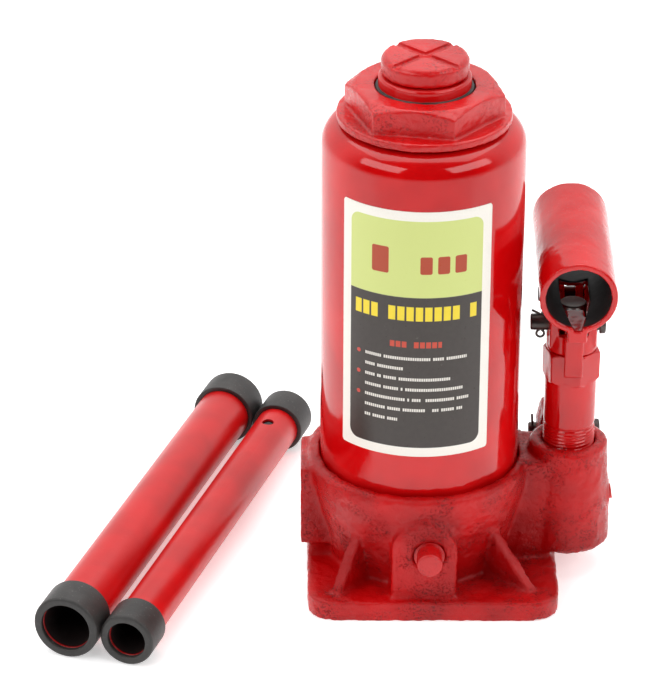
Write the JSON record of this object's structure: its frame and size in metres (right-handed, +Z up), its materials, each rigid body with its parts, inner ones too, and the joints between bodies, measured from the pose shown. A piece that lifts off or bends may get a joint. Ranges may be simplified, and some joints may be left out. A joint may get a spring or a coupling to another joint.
{
  "type": "bottle jack",
  "caption": "Hydraulic bottle jack with ram, extension screw saddle, plunger pump, handle socket and links, release valve and a two-piece handle laid beside it.",
  "frame": {"origin": "on the ram axis at the underside of the foot plate", "axes": "+Z up along the ram, +X towards the pump, -Y towards the release valve and the mouth of the handle socket"},
  "size_m": [0.2226, 0.1954, 0.2161],
  "materials": {
    "cast_enamel": "gloss red enamel over rough sand casting",
    "enamel": "smooth gloss red enamel",
    "forged_enamel": "gloss red enamel over forged steel",
    "enamel_dark": "gloss red enamel, thin",
    "ground_steel": "ground",
    "dark_steel": "oiled dark",
    "rubber": "matt black",
    "brass": "satin",
    "cap_plastic": "soft matt black",
    "label": "printed film, semi-gloss"
  },
  "bodies": {
    "base": {"base_casting": "cast_enamel", "reservoir_shell": "enamel", "pressure_cylinder": "ground_steel", "top_nut": "forged_enamel", "wiper_seal": "rubber", "gland_o_ring": "rubber", "top_gasket": "rubber", "shell_gasket": "rubber", "cylinder_gasket": "brass", "label_plate": "label", "pump_body": "enamel", "pump_washer": "brass", "pump_wiper": "rubber", "suction_strainer": "brass", "delivery_spring": "ground_steel", "delivery_retainer": "brass", "gallery_plug": "enamel_dark", "overload_spring": "ground_steel", "overload_screw": "ground_steel"},
    "filler": {"filler_plug": "rubber"},
    "ram": {"ram": "ground_steel", "ram_cup_seal": "rubber", "cup_washer": "ground_steel", "cup_screw": "dark_steel"},
    "stop_ring": {"screw_stop_ring": "dark_steel"},
    "saddle_screw": {"extension_screw": "forged_enamel"},
    "plunger": {"pump_plunger": "ground_steel", "plunger_o_ring": "rubber"},
    "socket": {"handle_socket": "enamel", "plunger_pin": "dark_steel", "plunger_cotter": "dark_steel"},
    "links": {"link_plates": "enamel", "link_pins": "dark_steel", "link_cotters": "dark_steel"},
    "release_carrier": {"release_o_ring": "rubber"},
    "release": {"release_screw": "forged_enamel"},
    "release_ball": {"release_ball": "ground_steel"},
    "suction_ball": {"suction_ball": "ground_steel"},
    "delivery_ball": {"delivery_ball": "ground_steel"},
    "overload_ball": {"overload_ball": "ground_steel"},
    "large_handle": {"large_handle_tube": "enamel", "large_handle_caps": "cap_plastic"},
    "small_handle": {"small_handle_tube": "enamel", "small_handle_caps": "cap_plastic"}
  },
  "joints": [
    {"name": "ram_lift", "type": "slide", "parent": "base", "child": "ram", "axis": [0, 0, 1], "range_m": [0, 0.125]},
    {"name": "screw_extend", "type": "slide", "parent": "ram", "child": "stop_ring", "axis": [0, 0, 1], "range_m": [0, 0.057]},
    {"name": "screw_turn", "type": "hinge", "parent": "stop_ring", "child": "saddle_screw", "pos_m": [0, 0, 0.2], "axis": [0, 0, 1], "range_deg": [0, 6840.1]},
    {"name": "handle_swing", "type": "hinge", "parent": "plunger", "child": "socket", "pos_m": [0.0582, 0, 0.105], "axis": [-1, 0, 0], "range_deg": [0, 40]},
    {"name": "plunger_stroke", "type": "slide", "parent": "base", "child": "plunger", "axis": [0, 0, 1], "range_m": [0, 0.01568]},
    {"name": "link_swing", "type": "hinge", "parent": "base", "child": "links", "pos_m": [0.0582, 0.024, 0.0447], "axis": [1, 0, 0], "range_deg": [0, 4.54]},
    {"name": "release_travel", "type": "slide", "parent": "base", "child": "release_carrier", "axis": [0, -1, 0], "range_m": [0, 0.00225]},
    {"name": "release_turn", "type": "hinge", "parent": "release_carrier", "child": "release", "pos_m": [0.0035, -0.045, 0.0264], "axis": [0, -1, 0], "range_deg": [0, 540.1]},
    {"name": "release_ball_travel", "type": "slide", "parent": "base", "child": "release_ball", "axis": [0, -1, 0], "range_m": [0, 0.00226]},
    {"name": "suction_ball_lift", "type": "slide", "parent": "base", "child": "suction_ball", "axis": [0, 0, 1], "range_m": [0, 0.0015]},
    {"name": "delivery_ball_lift", "type": "slide", "parent": "base", "child": "delivery_ball", "axis": [0, 0, 1], "range_m": [0, 0.0008], "deforming": ["delivery_spring"]},
    {"name": "overload_ball_lift", "type": "slide", "parent": "base", "child": "overload_ball", "axis": [0, 0, 1], "range_m": [0, 0.001], "deforming": ["overload_spring"]},
    {"name": "filler_pull", "type": "slide", "parent": "base", "child": "filler", "axis": [0, 1, 0], "range_m": [0, 0.03]},
    {"name": "large_handle_lift_off", "type": "slide", "parent": "base", "child": "large_handle", "axis": [0, 0, 1], "range_m": [0, 0.15]},
    {"name": "small_handle_lift_off", "type": "slide", "parent": "base", "child": "small_handle", "axis": [0, 0, 1], "range_m": [0, 0.15]}
  ],
  "couplings": [
    {"joint": "plunger_stroke", "follows": "handle_swing", "m_per_rad": 0.02232},
    {"joint": "link_swing", "follows": "handle_swing", "ratio": 0.111},
    {"joint": "screw_turn", "follows": "screw_extend", "rad_per_m": 2094.4},
    {"joint": "release_turn", "follows": "release_travel", "rad_per_m": 4188.8},
    {"joint": "release_ball_travel", "follows": "release_travel", "ratio": 1}
  ]
}
